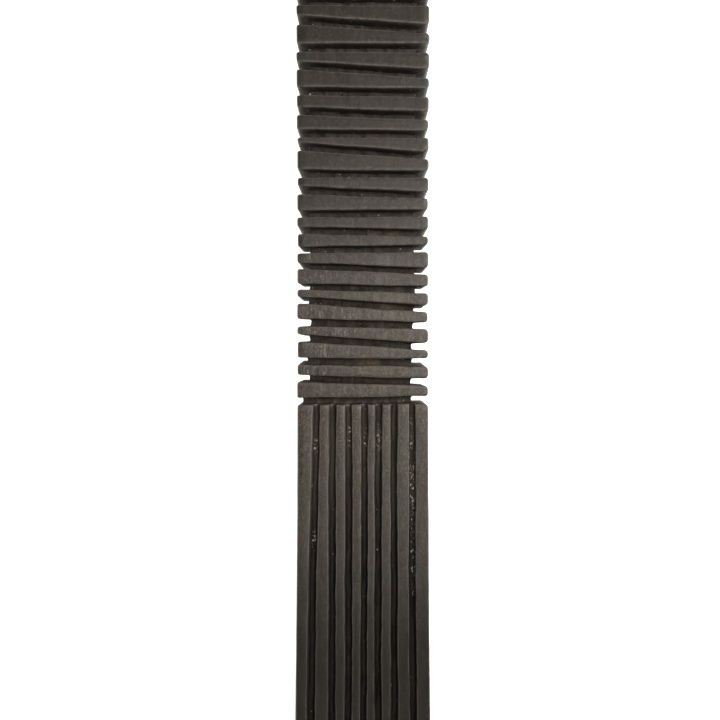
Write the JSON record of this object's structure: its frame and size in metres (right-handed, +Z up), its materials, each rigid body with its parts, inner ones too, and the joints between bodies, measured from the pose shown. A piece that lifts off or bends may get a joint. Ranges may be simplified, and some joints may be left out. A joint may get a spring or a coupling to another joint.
{
  "type": "headrest",
  "caption": "Long carved timber headrest: a gently dished crossbar, ribbed over one half and fluted over the other, lashed and pegged to two arched feet.",
  "frame": {"origin": "on the floor, below the middle of the crossbar", "axes": "+X along the crossbar towards its ribbed end, +Y across it towards the back edge, +Z up"},
  "size_m": [0.64, 0.088, 0.1457],
  "materials": {
    "dark_wood": "ebonised, satin, worn along the arrises",
    "foot_wood": "ebonised, satin",
    "peg_wood": "dark brown hardwood, cut end grain",
    "cord": "braided coconut fibre, dark with age"
  },
  "bodies": {
    "root": {"crossbar": "dark_wood", "ribbed_end_foot": "foot_wood", "fluted_end_foot": "foot_wood", "ribbed_end_lashing": "cord", "fluted_end_lashing": "cord", "ribbed_end_inner_peg": "peg_wood", "ribbed_end_outer_peg": "peg_wood", "fluted_end_inner_peg": "peg_wood", "fluted_end_outer_peg": "peg_wood"}
  },
  "joints": []
}
